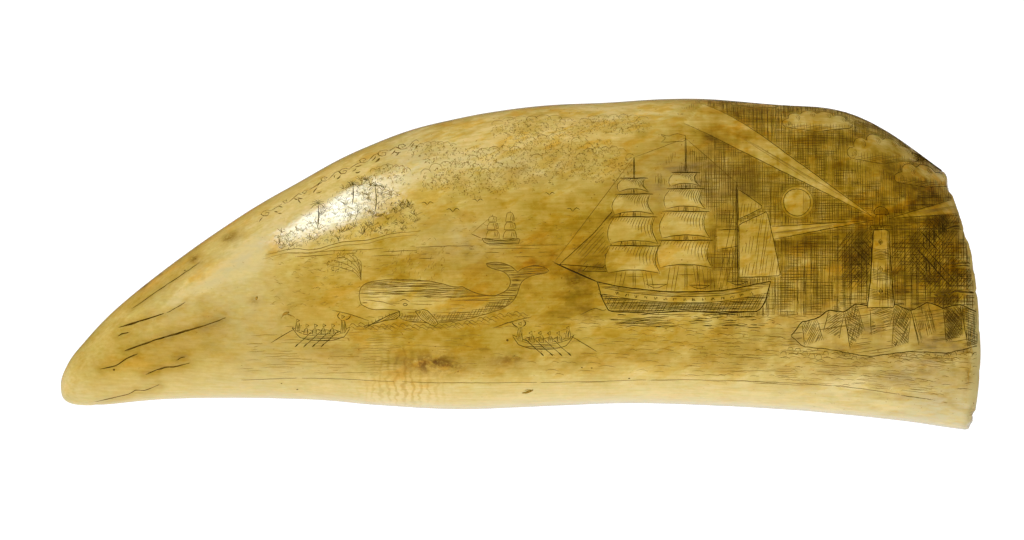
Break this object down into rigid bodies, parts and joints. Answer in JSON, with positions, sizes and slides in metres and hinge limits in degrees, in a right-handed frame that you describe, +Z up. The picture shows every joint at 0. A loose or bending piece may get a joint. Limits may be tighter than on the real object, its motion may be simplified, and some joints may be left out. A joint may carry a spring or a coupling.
{
  "type": "scrimshaw whale tooth",
  "caption": "Curved sperm whale tooth with a blunt tip and a hollow root, polished and engraved with an inked whaling scene; it lies on its flatter side.",
  "frame": {"origin": "under the middle of the tooth's box, on the surface it lies on", "axes": "+X along the tooth from its tip to its root, +Y towards its convex edge, +Z up out of the engraved side"},
  "size_m": [0.1698, 0.0612, 0.0396],
  "materials": {
    "polished_ivory": null
  },
  "bodies": {
    "root": {"whale_tooth": "polished_ivory"}
  },
  "joints": []
}
